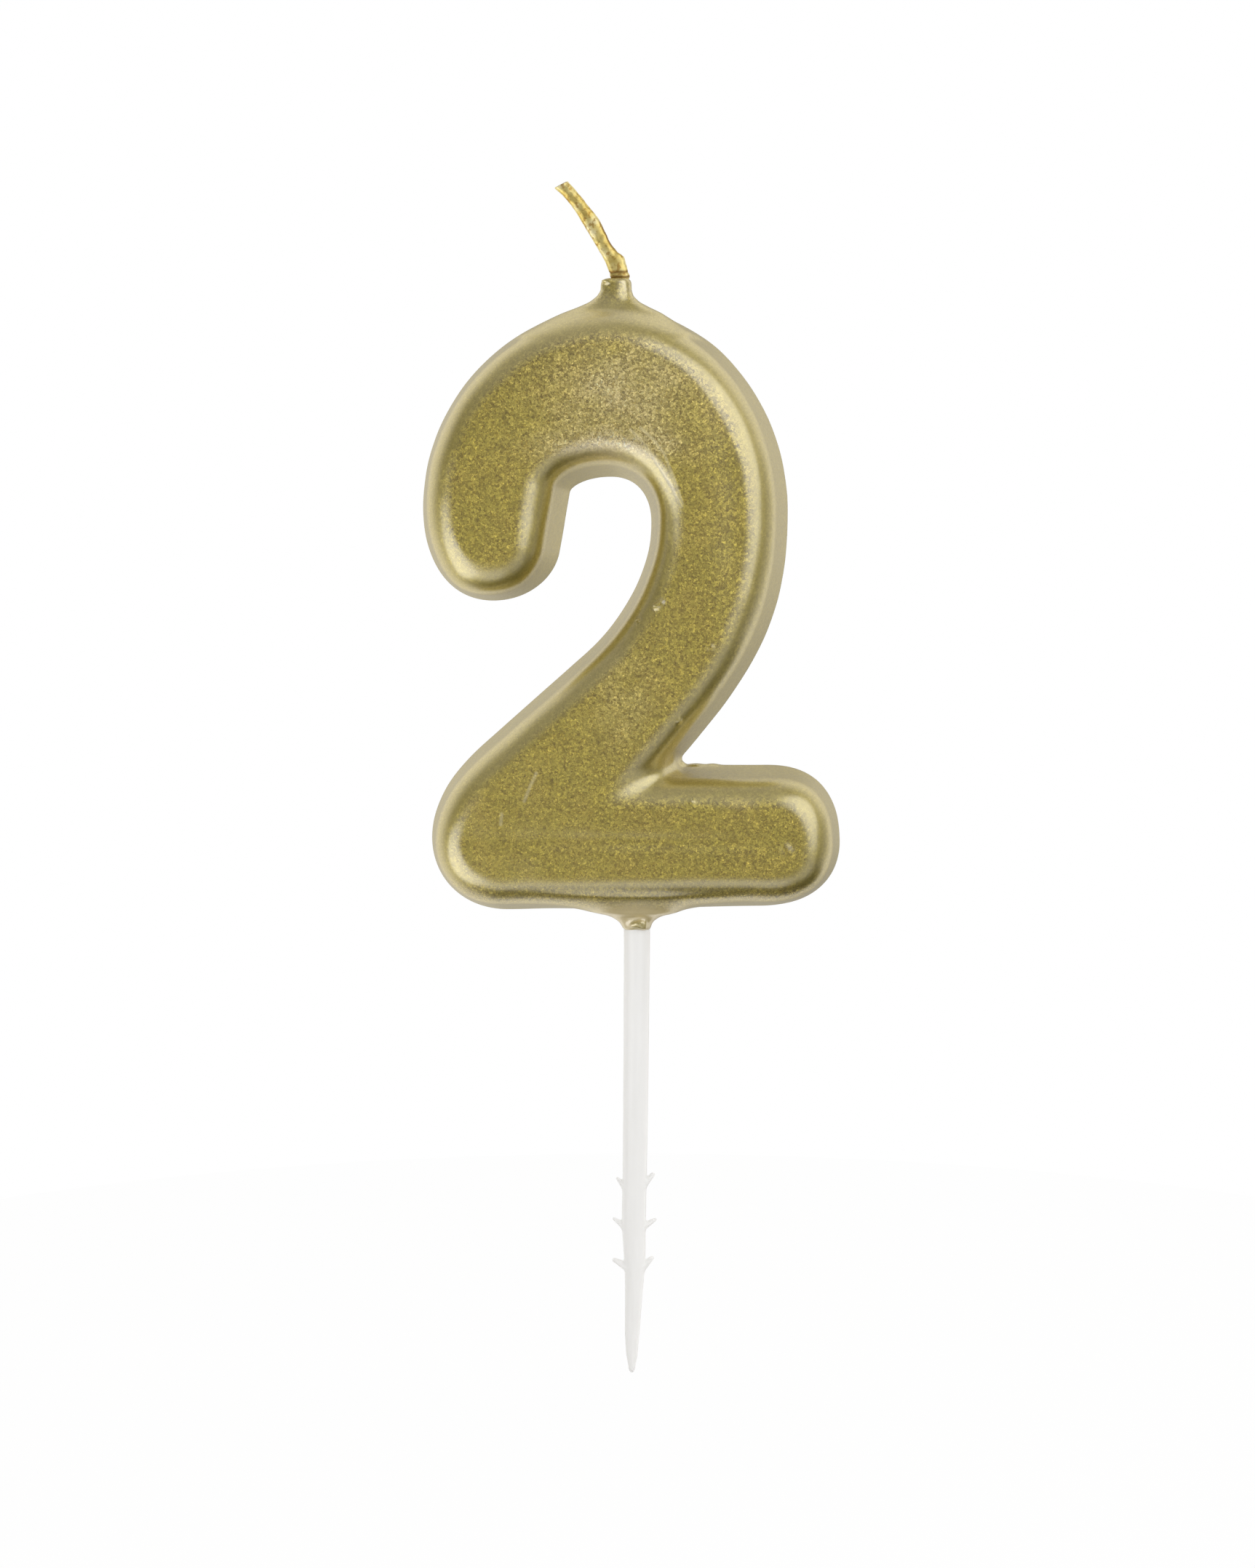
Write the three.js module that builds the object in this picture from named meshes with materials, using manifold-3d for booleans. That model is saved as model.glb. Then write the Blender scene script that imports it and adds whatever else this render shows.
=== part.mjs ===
// Number candle: a wax numeral two under a gold coat, with a wick, cast on a barbed plastic pick.
// Millimetres, +Z up. The origin is on the pick's axis where the gold neck ends, level with the cake.
// +X is to the right seen from the front, and +Y points to the flat back.
import * as THREE from 'three';
import { mergeVertices } from 'three/addons/utils/BufferGeometryUtils.js';
import Module from 'manifold-3d';

const wasm = await Module();
wasm.setup();

// The numeral's heights, stacked from the foot's underside to the crown
const footHeight = 16.8;
const baySpace = 19.2;
const hookRise = 10.9;
const bowlRise = 22.9;

// The numeral's reaches from the pick's axis
const footReachLeft = 24.4;
const footReachRight = 23.3;
const bowlReachLeft = 25.3;
const bowlReachRight = 17.2;
const crownOffset = 3.3;
const junctionReach = 4.2;

// Stroke widths
const crownStroke = 19.5;
const rightStroke = 15.8;
const hookStroke = 16.0;

// Foot: round ends and the flat stretch between them
const footEndHeight = 8.0;
const footLowerRound = 9.5;
const footUpperRound = 8.6;
const heelHeight = 8.1;
const heelRound = 8.8;
const heelCorner = 13.7;
const heelBend = 8.7;
const undersideRise = 0.6;

// Diagonal: where its two edges would meet the bowl's and the bay's upright tangents
const waistRise = 15.7;
const waistStraight = 5.0;
const bayCornerRise = 19.7;
const bayBend = 11.0;
const junctionRadius = 0.7;

// Bowl, hook and the bay that they go round
const bowlRightDrop = 23.7;
const hookBottomInset = 8.2;
const hookRound = 5.7;
const hookLeanDegrees = 9.5;
const bayCornerDrop = 1.7;
const bayRightDrop = 5.2;

// How full each round stretch is: 0.55 is close to a circle's quarter, more is squarer
const fullness = {
  footLower: 0.62,
  footUpper: 0.66,
  waist: 0.75,
  crownRight: 0.55,
  crownLeft: 0.53,
  hookLeft: 0.62,
  hookRight: 0.57,
  bayCornerLeaving: 0.21,
  bayCornerArriving: 0.74,
  bayTop: 0.62,
  bayRight: 0.64,
  heelUpper: 0.69,
  heelLower: 0.59,
};

// Section through the wax: draft from the flat back to the front, with rounded edges
const thickness = 10.0;
const draftDegrees = 11.0;
const shoulderRadius = 3.2;
const backRounding = 1.0;
const coatWall = 0.5;
const seatGap = 0.2;

// Gold neck round the pick and gold nipple round the wick
const neckLength = 1.9;
const neckRadius = 2.0;
const neckReach = 8.0;
const neckSink = 1.5;
const neckBend = 0.52;
const nippleHeight = 2.95;
const nippleRadius = 1.65;
const nippleReach = 6.3;
const nippleSink = 2.5;
const nippleBend = 0.45;
const nippleOffset = 2.2;
const flareDepth = 3.3;
const flareRoot = 1.5;

// Wick: a flat braid, from the heel along the strokes and out of the nipple
const wickWidth = 2.1;
const wickThickness = 1.1;
const wickRise = 10.8;
const wickReach = 6.8;
const wickStand = 1.7;

// Pick: round shaft, three pairs of barbs and a blunt point
const pickLength = 52.5;
const pickRadius = 1.5;
const pickHead = 11.0;
const pickHeadRadius = 1.25;
const pointLength = 11.6;
const pointRadius = 1.12;
const tipRadius = 0.6;
const tipLength = 1.0;
const pickLeanDegrees = 0.6;
const barbPairs = 3;
const firstBarb = 30.9;
const barbPitch = 4.8;
const barbReach = 2.35;
const barbRise = 2.0;
const barbRoot = 1.45;
const barbTip = 0.5;
const barbThickness = 1.1;

// Facets
const roundSteps = 10;
const shoulderSteps = 5;
const backSteps = 2;
const flareSides = 32;
const flareSteps = 7;
const pickSides = 20;
const noseSteps = 3;
const wickSteps = 66;
const wickQuarterSteps = 5;

const { degToRad: radians, lerp } = THREE.MathUtils;
const crownHeight = footHeight + baySpace + hookRise + bowlRise;
const crownTop = neckLength + crownHeight;
const nippleTop = crownTop + nippleHeight;

// A point on the numeral's face, from the pick's axis and the foot's underside
function spot(across, height) {
  return new THREE.Vector2(across, neckLength + height);
}

// A point at a distance from one point towards another
function towards(from, to, distance) {
  return to.clone().sub(from).setLength(distance).add(from);
}

// The numeral's corners and tangent points, shared by its outline and by the wick's route
function numeralPoints() {
  const hookBottom = footHeight + baySpace;
  const hookWidest = hookBottom + hookRise;
  const hookLean = Math.tan(radians(hookLeanDegrees));
  const bayTop = crownHeight - crownStroke;
  const bayRightReach = bowlReachRight - rightStroke;
  const hookSide = spot(hookStroke - bowlReachLeft, hookBottom + hookRound);
  const bayCornerFoot = neckLength + bayTop - bayCornerDrop;
  const bayCornerReach = hookSide.x + hookLean * (bayCornerFoot - hookSide.y);
  const junction = spot(junctionReach, footHeight);
  const waistCorner = spot(bowlReachRight, footHeight + waistRise);
  const bayBottomCorner = spot(bayRightReach, footHeight + bayCornerRise);
  const heelTopCorner = spot(-footReachLeft, heelCorner);
  return {
    heelStart: spot(heelRound - footReachLeft, -undersideRise / 2),
    footLowerStart: spot(footReachRight - footLowerRound, undersideRise / 2),
    footLowerCorner: spot(footReachRight, undersideRise / 2),
    footEnd: spot(footReachRight, footEndHeight),
    footUpperCorner: spot(footReachRight, footHeight),
    footTopStart: spot(footReachRight - footUpperRound, footHeight),
    junction,
    waistStart: towards(junction, waistCorner, waistStraight),
    waistCorner,
    bowlRight: spot(bowlReachRight, crownHeight - bowlRightDrop),
    crownRightCorner: spot(bowlReachRight, crownHeight),
    crown: spot(-crownOffset, crownHeight),
    crownLeftCorner: spot(-bowlReachLeft, crownHeight),
    bowlLeft: spot(-bowlReachLeft, hookWidest),
    hookLeftCorner: spot(-bowlReachLeft, hookBottom),
    hookBottom: spot(hookBottomInset - bowlReachLeft, hookBottom),
    hookRightCorner: spot(hookSide.x - hookLean * hookRound, hookBottom),
    hookSide,
    bayCornerStart: new THREE.Vector2(bayCornerReach, bayCornerFoot),
    bayCorner: spot(bayCornerReach + hookLean * bayCornerDrop, bayTop),
    bayTop: spot((bayCornerReach + bayRightReach) / 2, bayTop),
    bayTopCorner: spot(bayRightReach, bayTop),
    bayRight: spot(bayRightReach, bayTop - bayRightDrop),
    bayBottomCorner,
    diagonalTop: towards(bayBottomCorner, heelTopCorner, bayBend),
    diagonalBottom: towards(heelTopCorner, bayBottomCorner, heelBend),
    heelTopCorner,
    heelLeft: spot(-footReachLeft, heelHeight),
    heelLowerCorner: spot(-footReachLeft, -undersideRise / 2),
  };
}

// The largest outline, at the back, as points of X and Z that run anticlockwise seen from the front
function numeralOutline() {
  const at = numeralPoints();
  const path = new THREE.Path();
  let here = at.heelStart;
  path.moveTo(here.x, here.y);

  function straight(to) {
    path.lineTo(to.x, to.y);
    here = to;
  }

  // A round stretch whose two ends point at the corner where its tangents meet
  function round(corner, to, leaving, arriving = leaving) {
    const first = here.clone().lerp(corner, leaving);
    const second = to.clone().lerp(corner, arriving);
    path.bezierCurveTo(first.x, first.y, second.x, second.y, to.x, to.y);
    here = to;
  }

  // A small fillet in the sharp notch where the foot's top edge meets the diagonal
  function notch(corner, next) {
    const opening = next.clone().sub(corner).angle();
    const along = junctionRadius / Math.tan(opening / 2);
    const centre = corner.clone().add(new THREE.Vector2(along, junctionRadius));
    straight(new THREE.Vector2(centre.x, corner.y));
    path.absarc(centre.x, centre.y, junctionRadius, 1.5 * Math.PI, opening + 0.5 * Math.PI, true);
    here = towards(corner, next, along);
  }

  straight(at.footLowerStart);
  round(at.footLowerCorner, at.footEnd, fullness.footLower);
  round(at.footUpperCorner, at.footTopStart, fullness.footUpper);
  notch(at.junction, at.waistCorner);
  straight(at.waistStart);
  round(at.waistCorner, at.bowlRight, fullness.waist);
  round(at.crownRightCorner, at.crown, fullness.crownRight);
  round(at.crownLeftCorner, at.bowlLeft, fullness.crownLeft);
  round(at.hookLeftCorner, at.hookBottom, fullness.hookLeft);
  round(at.hookRightCorner, at.hookSide, fullness.hookRight);
  straight(at.bayCornerStart);
  round(at.bayCorner, at.bayTop, fullness.bayCornerLeaving, fullness.bayCornerArriving);
  round(at.bayTopCorner, at.bayRight, fullness.bayTop);
  round(at.bayBottomCorner, at.diagonalTop, fullness.bayRight);
  straight(at.diagonalBottom);
  round(at.heelTopCorner, at.heelLeft, fullness.heelUpper);
  round(at.heelLowerCorner, at.heelStart, fullness.heelLower);

  const points = path.getPoints(roundSteps);
  points.pop();
  return points;
}

// Moves each corner of an outline inward so that every edge shifts by the same amount
function inset(outline, amount) {
  return outline.map((point, step) => {
    const before = outline.at(step - 1);
    const after = outline[(step + 1) % outline.length];
    const arriving = point.clone().sub(before).normalize();
    const leaving = after.clone().sub(point).normalize();
    const inward = new THREE.Vector2(-arriving.y - leaving.y, arriving.x + leaving.x);
    const mitre = amount / (1 + arriving.dot(leaving));
    return point.clone().addScaledVector(inward, mitre);
  });
}

// The edge's section at a depth under the wax's outer face: insets and Y from the back to the front
function edgeSection(skin) {
  const draft = radians(draftDegrees);
  const sine = Math.sin(draft);
  const cosine = Math.cos(draft);
  const backFace = thickness / 2 - skin;
  const smallest = 0.05;
  const widest = backRounding * sine * (1 + sine) / cosine;
  const wall = thickness / 2 * sine + skin - widest * cosine;

  // Centre of a rounding that touches the drafted wall, at a given Y
  const centre = (radius, y) => new THREE.Vector2((wall + radius - y * sine) / cosine, y);

  function arc(middle, radius, from, to, steps) {
    return Array.from({ length: steps + 1 }, (_, step) => {
      const angle = lerp(from, to, step / steps);
      return new THREE.Vector2(Math.cos(angle), Math.sin(angle)).multiplyScalar(radius).add(middle);
    });
  }

  const back = Math.max(backRounding - skin, smallest);
  const front = Math.max(shoulderRadius - skin, smallest);
  return [
    ...arc(centre(back, backFace - back), back, 0.5 * Math.PI, Math.PI + draft, backSteps),
    ...arc(centre(front, front - backFace), front, Math.PI + draft, 1.5 * Math.PI, shoulderSteps),
  ];
}

// Closed skin over rings of points, capped at both ends, turning with the rings' own direction
function loft(rings, flat) {
  const count = rings[0].length;
  const index = [];
  for (let ring = 0; ring + 1 < rings.length; ring += 1) {
    for (let step = 0; step < count; step += 1) {
      const near = ring * count + step;
      const beside = ring * count + (step + 1) % count;
      index.push(near, beside, beside + count);
      index.push(near, beside + count, near + count);
    }
  }
  const cap = (ring) => THREE.ShapeUtils.triangulateShape(ring.map(flat), []);
  const last = (rings.length - 1) * count;
  for (const [first, second, third] of cap(rings[0])) {
    index.push(third, second, first);
  }
  for (const [first, second, third] of cap(rings.at(-1))) {
    index.push(last + first, last + second, last + third);
  }
  const geometry = new THREE.BufferGeometry();
  geometry.setFromPoints(rings.flat());
  geometry.setIndex(index);
  return geometry;
}

// Mesh to solid and back, for the cuts and joins
function solid(geometry) {
  geometry.deleteAttribute('normal');
  geometry.deleteAttribute('uv');
  const merged = mergeVertices(geometry);
  return new wasm.Manifold(new wasm.Mesh({
    numProp: 3,
    vertProperties: new Float32Array(merged.attributes.position.array),
    triVerts: new Uint32Array(merged.index.array),
  }));
}

function surface(body) {
  const mesh = body.getMesh();
  const geometry = new THREE.BufferGeometry();
  geometry.setAttribute('position', new THREE.BufferAttribute(mesh.vertProperties, 3));
  geometry.setIndex(new THREE.BufferAttribute(mesh.triVerts, 1));
  geometry.computeVertexNormals();
  return geometry;
}

// A long straight stroke with the numeral's edge along the line between two points, wax on the line's left
function straightStroke(from, to, outward, skin) {
  const way = to.clone().sub(from).normalize();
  const inward = new THREE.Vector2(-way.y, way.x);
  const section = edgeSection(skin);
  const profile = [
    ...section,
    new THREE.Vector2(section.at(-1).x, -thickness),
    new THREE.Vector2(crownHeight, -thickness),
    new THREE.Vector2(crownHeight, thickness),
    new THREE.Vector2(section[0].x, thickness),
  ];
  const ring = (along) => profile.map(({ x: depth, y }) => {
    const place = from.clone().addScaledVector(inward, depth - outward).addScaledVector(way, along);
    return new THREE.Vector3(place.x, y, place.y);
  });
  const flat = ({ x, y, z }) => new THREE.Vector2(inward.dot(new THREE.Vector2(x, z)), y);
  return solid(loft([ring(crownHeight), ring(-crownHeight)], flat));
}

// Diagonal and foot carried on past the notch, so that their drafted edges meet in a valley there
function notchStrokes(skin) {
  const { junction, waistCorner, footTopStart } = numeralPoints();
  const opening = waistCorner.clone().sub(junction).angle();
  const filletDepth = junctionRadius * (1 - Math.sin(opening / 2));
  const diagonal = straightStroke(junction, waistCorner, filletDepth, skin);
  return diagonal.add(straightStroke(footTopStart, junction, filletDepth, skin));
}

// The numeral's wax body, taken at a depth under its outer face
function numeralBody(skin) {
  const outline = numeralOutline();
  const rings = edgeSection(skin).map(({ x: amount, y }) => (
    inset(outline, amount).map((point) => new THREE.Vector3(point.x, y, point.y))
  ));
  const body = solid(loft(rings, (point) => new THREE.Vector2(point.x, point.z)));
  return body.intersect(notchStrokes(skin));
}

// A drip's profile from its lip: reach from its axis, and distance from the lip
function flareProfile(lipRadius, baseReach, height, bend) {
  const narrow = lerp(lipRadius, baseReach, 0.05);
  const wide = lerp(lipRadius, baseReach, 0.66);
  const easing = 0.06;
  return new THREE.CubicBezierCurve(
    new THREE.Vector2(lipRadius, 0),
    new THREE.Vector2(narrow, height * (1 - bend - easing)),
    new THREE.Vector2(wide, height * (1 - bend + easing)),
    new THREE.Vector2(baseReach, height),
  ).getPoints(flareSteps);
}

// A drip of gold wax that flares from a round lip into the numeral's edge, which is thinner in Y
function flare(across, lip, lipRadius, baseReach, height, bend, upright) {
  const profile = flareProfile(lipRadius, baseReach, height, bend);
  profile.push(new THREE.Vector2(baseReach, height + flareRoot));
  for (const point of profile) {
    point.y = upright ? lip - point.y : lip + point.y;
  }
  if (upright) {
    profile.reverse();
  }
  const depthShare = (flareDepth - lipRadius) / (baseReach - lipRadius);
  const rings = profile.map(({ x: reach, y: height }) => (
    Array.from({ length: flareSides }, (_, side) => {
      const angle = side / flareSides * 2 * Math.PI;
      const depth = lipRadius + (reach - lipRadius) * depthShare;
      return new THREE.Vector3(across + reach * Math.cos(angle), depth * Math.sin(angle), height);
    })
  ));
  return solid(loft(rings, (point) => new THREE.Vector2(point.x, point.y)));
}

function neck() {
  return flare(0, 0, neckRadius, neckReach, neckLength + neckSink, neckBend, false);
}

function nipple() {
  const height = nippleHeight + nippleSink;
  return flare(-nippleOffset, nippleTop, nippleRadius, nippleReach, height, nippleBend, true);
}

// The wick's route from its buried end in the heel to its free tip, all in the middle of the wax
function wickRoute(endGap) {
  const at = numeralPoints();
  const heel = new THREE.Vector2(at.heelStart.x, neckLength + heelHeight);
  const waist = at.junction.clone().add(at.diagonalTop).divideScalar(2);
  const strokeMiddle = at.bowlRight.clone().add(at.bayRight).divideScalar(2);
  const crownMiddle = new THREE.Vector2(-nippleOffset, crownTop - crownStroke / 2);
  const mouth = new THREE.Vector2(-nippleOffset, nippleTop);
  const bend = mouth.clone().add(new THREE.Vector2(0, wickStand));
  const tip = mouth.clone().add(new THREE.Vector2(-wickReach, wickRise));
  const halfway = bend.clone().lerp(tip, 0.5);
  const buriedEnd = towards(waist, heel, waist.distanceTo(heel) + endGap);
  const stops = [buriedEnd, waist, strokeMiddle, crownMiddle, mouth, bend, halfway, tip];
  return new THREE.CatmullRomCurve3(stops.map(({ x, y }) => new THREE.Vector3(x, 0, y)));
}

function wickSolid(gap) {
  const section = new THREE.Shape();
  const across = wickWidth / 2 + gap;
  const deep = wickThickness / 2 + gap;
  section.absellipse(0, 0, deep, across, 0, 2 * Math.PI);
  return solid(new THREE.ExtrudeGeometry(section, {
    extrudePath: wickRoute(gap),
    steps: wickSteps,
    curveSegments: wickQuarterSteps,
  }));
}

// The pick's shaft from its point to the head that is cast into the foot
function pickShaft(gap) {
  const headTop = neckLength + pickHead + gap;
  const nose = Array.from({ length: noseSteps }, (_, step) => {
    const angle = 0.5 * Math.PI * (step + 1) / noseSteps;
    return [tipRadius * Math.sin(angle) + gap, tipLength * (1 - Math.cos(angle)) - pickLength];
  });
  const profile = [
    [0, -pickLength - gap],
    ...nose,
    [pointRadius + gap, pointLength - pickLength],
    [pickRadius + gap, -firstBarb],
    [pickRadius + gap, neckLength],
    [pickHeadRadius + gap, headTop],
    [0, headTop],
  ];
  const shaft = new THREE.LatheGeometry(profile.map(([r, z]) => new THREE.Vector2(r, z)), pickSides);
  return solid(shaft.rotateX(0.5 * Math.PI));
}

// One pair of flat barbs that point up and out, so that the pick doesn't slip out of the cake
function barbPair(pair) {
  const foot = -firstBarb - pair * barbPitch;
  const pointStart = pointLength - pickLength;
  const side = THREE.MathUtils.mapLinear(foot, -firstBarb, pointStart, pickRadius, pointRadius);
  const shape = new THREE.Shape();
  shape.moveTo(-side, 0);
  shape.lineTo(side, 0);
  shape.lineTo(barbReach, barbRise - barbTip);
  shape.quadraticCurveTo(barbReach + barbTip / 4, barbRise, barbReach - barbTip / 2, barbRise);
  shape.lineTo(side, barbRoot);
  shape.lineTo(-side, barbRoot);
  shape.lineTo(barbTip / 2 - barbReach, barbRise);
  shape.quadraticCurveTo(-barbReach - barbTip / 4, barbRise, -barbReach, barbRise - barbTip);
  const fins = new THREE.ExtrudeGeometry(shape, {
    depth: barbThickness,
    bevelEnabled: false,
    curveSegments: 4,
  });
  fins.rotateX(0.5 * Math.PI);
  fins.translate(0, barbThickness / 2, foot);
  return solid(fins);
}

function leaned(body) {
  return body.rotate([0, pickLeanDegrees, 0]);
}

// Cuts that the pick and the wick need in the wax
const pickBore = leaned(pickShaft(seatGap));
const wickBore = wickSolid(seatGap);

function waxCore() {
  return numeralBody(coatWall + seatGap).subtract(pickBore).subtract(wickBore);
}

function goldCoat() {
  const outside = numeralBody(0).add(neck()).add(nipple());
  return outside.subtract(numeralBody(coatWall)).subtract(pickBore).subtract(wickBore);
}

function wick() {
  return wickSolid(0);
}

function pick() {
  let body = pickShaft(0);
  for (let pair = 0; pair < barbPairs; pair += 1) {
    body = body.add(barbPair(pair));
  }
  return leaned(body);
}

// Materials
const paraffin = new THREE.MeshStandardMaterial({ color: 0xe9e2cf, roughness: 0.55, metalness: 0 });
const goldLacquer = new THREE.MeshStandardMaterial({ color: 0xa8935a, roughness: 0.42, metalness: 0.9 });
const goldBraid = new THREE.MeshStandardMaterial({ color: 0xc29b45, roughness: 0.5, metalness: 0.7 });
const whitePlastic = new THREE.MeshStandardMaterial({ color: 0xf0efed, roughness: 0.35, metalness: 0 });

function piece(name, body, material) {
  const mesh = new THREE.Mesh(surface(body), material);
  mesh.name = name;
  return mesh;
}

const candle = new THREE.Group();
candle.name = 'number_candle';
candle.add(piece('wax_core', waxCore(), paraffin));
candle.add(piece('gold_coat', goldCoat(), goldLacquer));
candle.add(piece('wick', wick(), goldBraid));
candle.add(piece('pick', pick(), whitePlastic));

export default candle;
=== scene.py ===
import math

import bpy
import numpy as np
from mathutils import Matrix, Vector


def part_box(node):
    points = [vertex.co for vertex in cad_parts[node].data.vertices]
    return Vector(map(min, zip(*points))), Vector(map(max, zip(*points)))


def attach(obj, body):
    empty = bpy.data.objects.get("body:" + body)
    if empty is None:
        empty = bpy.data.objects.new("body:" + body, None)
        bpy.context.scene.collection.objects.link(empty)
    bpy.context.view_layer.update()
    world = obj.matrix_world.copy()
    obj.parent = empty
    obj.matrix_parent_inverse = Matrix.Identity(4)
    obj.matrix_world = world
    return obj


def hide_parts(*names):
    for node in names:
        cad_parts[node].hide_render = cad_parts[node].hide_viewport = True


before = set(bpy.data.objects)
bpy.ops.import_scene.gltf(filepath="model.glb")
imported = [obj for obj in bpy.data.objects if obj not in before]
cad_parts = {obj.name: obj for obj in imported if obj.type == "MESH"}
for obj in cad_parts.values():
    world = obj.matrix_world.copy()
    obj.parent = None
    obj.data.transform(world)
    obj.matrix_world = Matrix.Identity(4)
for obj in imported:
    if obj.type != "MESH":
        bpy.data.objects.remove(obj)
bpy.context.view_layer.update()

MM = 0.001


def corners(node):
    """A CAD node's lowest and highest corners in millimetres."""
    return tuple(np.array(corner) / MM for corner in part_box(node))


coat_low, coat_high = corners("gold_coat")
wick_low, wick_high = corners("wick")
pick_low, pick_high = corners("pick")

# Camera: where it looks from, and the photograph's frame at the numeral's back edge
azimuth = math.radians(4.2)
elevation = math.radians(4.0)
camera_distance = 380.0
target = np.array([-1.42, 4.3, 16.37])
photo_size = (1725, 2156)
mm_per_pixel = 0.08516
sensor_height = 36.0

# Numeral: heights from the foot's underside, reaches from the pick's axis
neck_length = 1.9
foot_height = 16.8
bay_space = 19.2
hook_rise = 10.9
bowl_rise = 22.9
foot_reach_left = 24.4
foot_reach_right = 23.3
bowl_reach_left = 25.3
bowl_reach_right = 17.2
crown_offset = 3.3
junction_reach = 4.2
crown_stroke = 19.5
right_stroke = 15.8
hook_stroke = 16.0
foot_end_height = 8.0
foot_lower_round = 9.5
foot_upper_round = 8.6
heel_height = 8.1
heel_round = 8.8
heel_corner = 13.7
heel_bend = 8.7
underside_rise = 0.6
waist_rise = 15.7
waist_straight = 5.0
bay_corner_rise = 19.7
bay_bend = 11.0
junction_radius = 0.7
bowl_right_drop = 23.7
hook_bottom_inset = 8.2
hook_round = 5.7
hook_lean = math.tan(math.radians(9.5))
bay_corner_drop = 1.7
bay_right_drop = 5.2
crown_height = foot_height + bay_space + hook_rise + bowl_rise
crown_top = neck_length + crown_height

# Outline's points: their spacing on straights in millimetres, and their counts
straight_spacing = 0.5
bend_points = 56
notch_points = 12

# Bends: how far the curve's handles reach towards the bend's corner, as a share
foot_lower_pull = 0.62
foot_upper_pull = 0.66
bowl_lower_pull = 0.75
crown_right_pull = 0.55
crown_left_pull = 0.53
hook_left_pull = 0.62
hook_right_pull = 0.57
bay_corner_pull = 0.21
bay_top_pull = 0.74
bay_right_pull = 0.62
bay_bottom_pull = 0.64
heel_top_pull = 0.69
heel_bottom_pull = 0.59

# Section through the wax
draft = math.radians(11.0)
shoulder_radius = 3.8
back_rounding = 1.0
notch_blend = 3.0
half_thickness = (coat_high[1] - coat_low[1]) / 2


def spot(across, height):
    """A point on the numeral's face, from the pick's axis and the foot's underside."""
    return np.array([across, neck_length + height])


def towards(start, end, distance):
    """A point at a distance from one point towards another."""
    way = end - start
    return start + way * distance / np.linalg.norm(way)


def bezier(start, first, second, end, steps):
    """Points of a cubic curve, without its end."""
    share = np.linspace(0, 1, steps, endpoint=False)[:, None]
    rest = 1 - share
    return rest**3 * start + 3 * rest**2 * share * first + 3 * rest * share**2 * second + share**3 * end


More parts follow.
